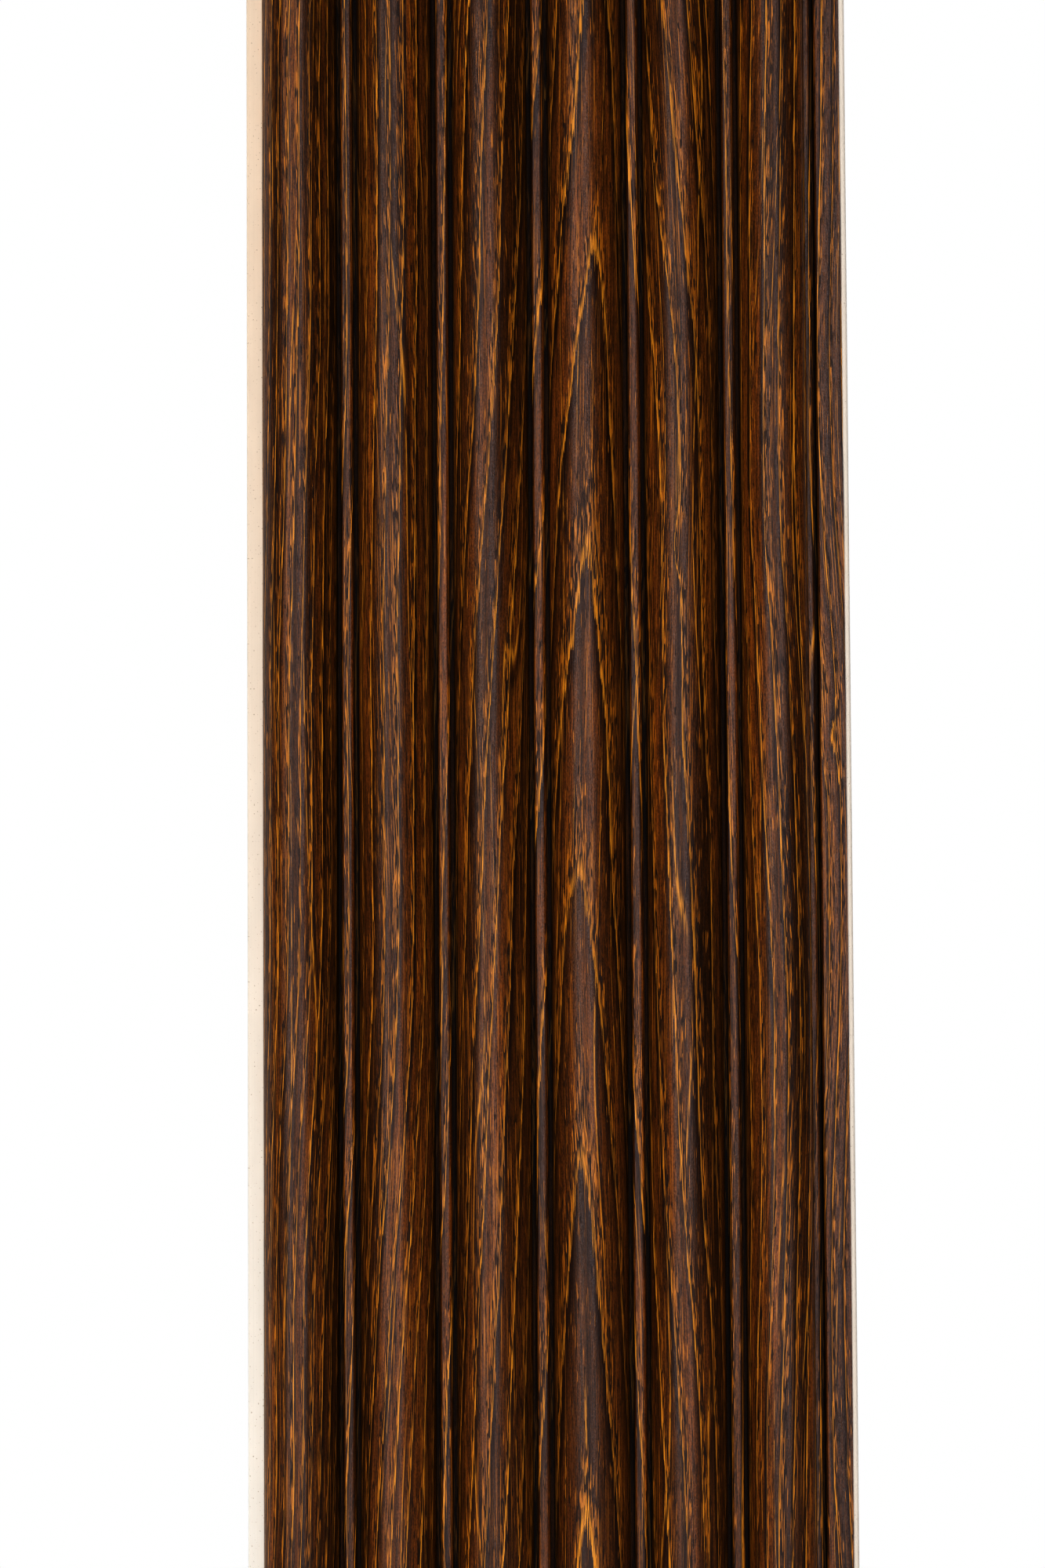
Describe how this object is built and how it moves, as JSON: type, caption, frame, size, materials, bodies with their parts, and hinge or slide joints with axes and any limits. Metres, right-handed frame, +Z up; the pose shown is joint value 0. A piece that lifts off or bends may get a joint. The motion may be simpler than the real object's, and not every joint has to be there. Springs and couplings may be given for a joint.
{
  "type": "fluted wall panel",
  "caption": "Length of interlocking fluted wall panel: half-round reeds and narrow beads in dark wood-grain film on a cream foam core, with a bare tongue and an overlapping lip.",
  "frame": {"origin": "middle of the flat back, halfway across the panel's overall width and halfway up its length", "axes": "+Z runs up the panel's length, +X across it from the tongue to the lip, +Y out of the back into the wall; the fluted face looks along -Y"},
  "size_m": [0.126, 0.012, 0.34],
  "materials": {
    "foam": "matt foamed plastic, cream",
    "wood_film": "satin embossed film with a dark wood grain"
  },
  "bodies": {
    "root": {"core": "foam", "wood_film": "wood_film"}
  },
  "joints": []
}
